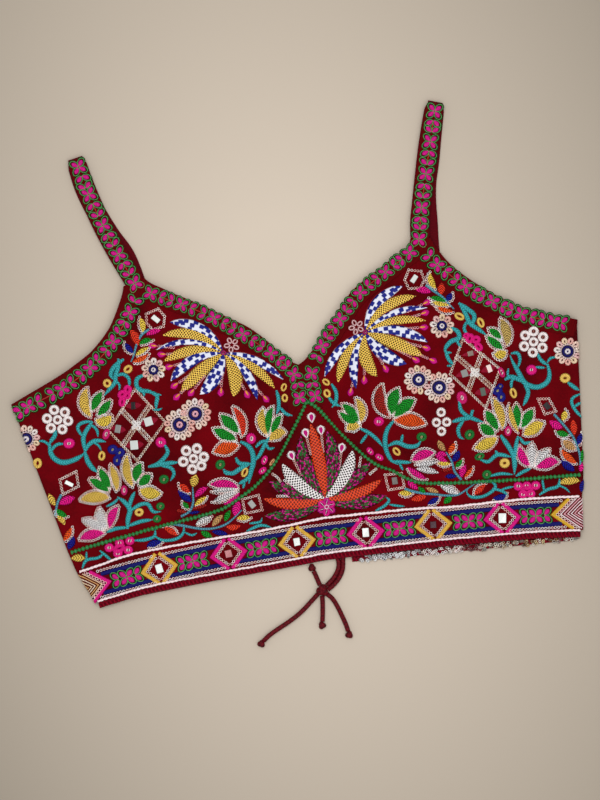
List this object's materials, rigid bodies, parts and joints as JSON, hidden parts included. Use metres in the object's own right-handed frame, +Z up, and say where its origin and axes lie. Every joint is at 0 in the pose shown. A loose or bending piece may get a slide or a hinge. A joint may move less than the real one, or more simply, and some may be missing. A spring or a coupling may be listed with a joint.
{
  "type": "choli blouse",
  "caption": "Strappy choli blouse laid flat: domed cups, V neckline, gusset, embroidered borders, mirrored hem band, beaded hem, folded shoulder straps, open back tied with cords.",
  "frame": {"origin": "centre of the footprint on the surface it lies on, measured without the tie cords", "axes": "+X along the hem to the right as seen from above, +Y from the hem to the straps, +Z up out of the front"},
  "size_m": [0.4277, 0.3898, 0.0359],
  "materials": {
    "maroon_cloth": "satin",
    "back_cloth": "satin",
    "border_tape": "embroidered",
    "hem_band": "embroidered",
    "braid": "corded",
    "green_cord": "corded",
    "white_piping": "corded",
    "tie_cord": "corded",
    "thread": "satin",
    "sequins": "gloss",
    "mirrors": "polished"
  },
  "bodies": {
    "root": {"front_cup_left": "maroon_cloth", "front_cup_right": "maroon_cloth", "front_midriff": "maroon_cloth", "front_hem_band": "hem_band", "hem_braid_front": "braid", "border_neck_left": "border_tape", "border_neck_right": "border_tape", "border_arm_left": "border_tape", "border_arm_right": "border_tape", "underbust_cord_left": "green_cord", "underbust_cord_right": "green_cord", "band_piping_upper": "white_piping", "band_piping_lower": "white_piping", "strap_left": "border_tape", "strap_right": "border_tape", "back_wing_left": "back_cloth", "back_wing_right": "back_cloth", "back_hem_band_left": "hem_band", "back_hem_band_right": "hem_band", "back_hem_braid_left": "braid", "back_hem_braid_right": "braid", "tie_tab_left": "tie_cord", "tie_tab_right": "tie_cord", "tie_run_left": "tie_cord", "tie_run_right": "tie_cord", "tie_tail_long": "tie_cord", "tie_tail_short": "tie_cord", "tie_tail_side": "tie_cord", "tie_tail_up": "tie_cord", "tie_knot": "tie_cord", "tie_end_long": "tie_cord", "tie_end_short": "tie_cord", "tie_end_side": "tie_cord", "tie_end_up": "tie_cord"}
  },
  "joints": []
}
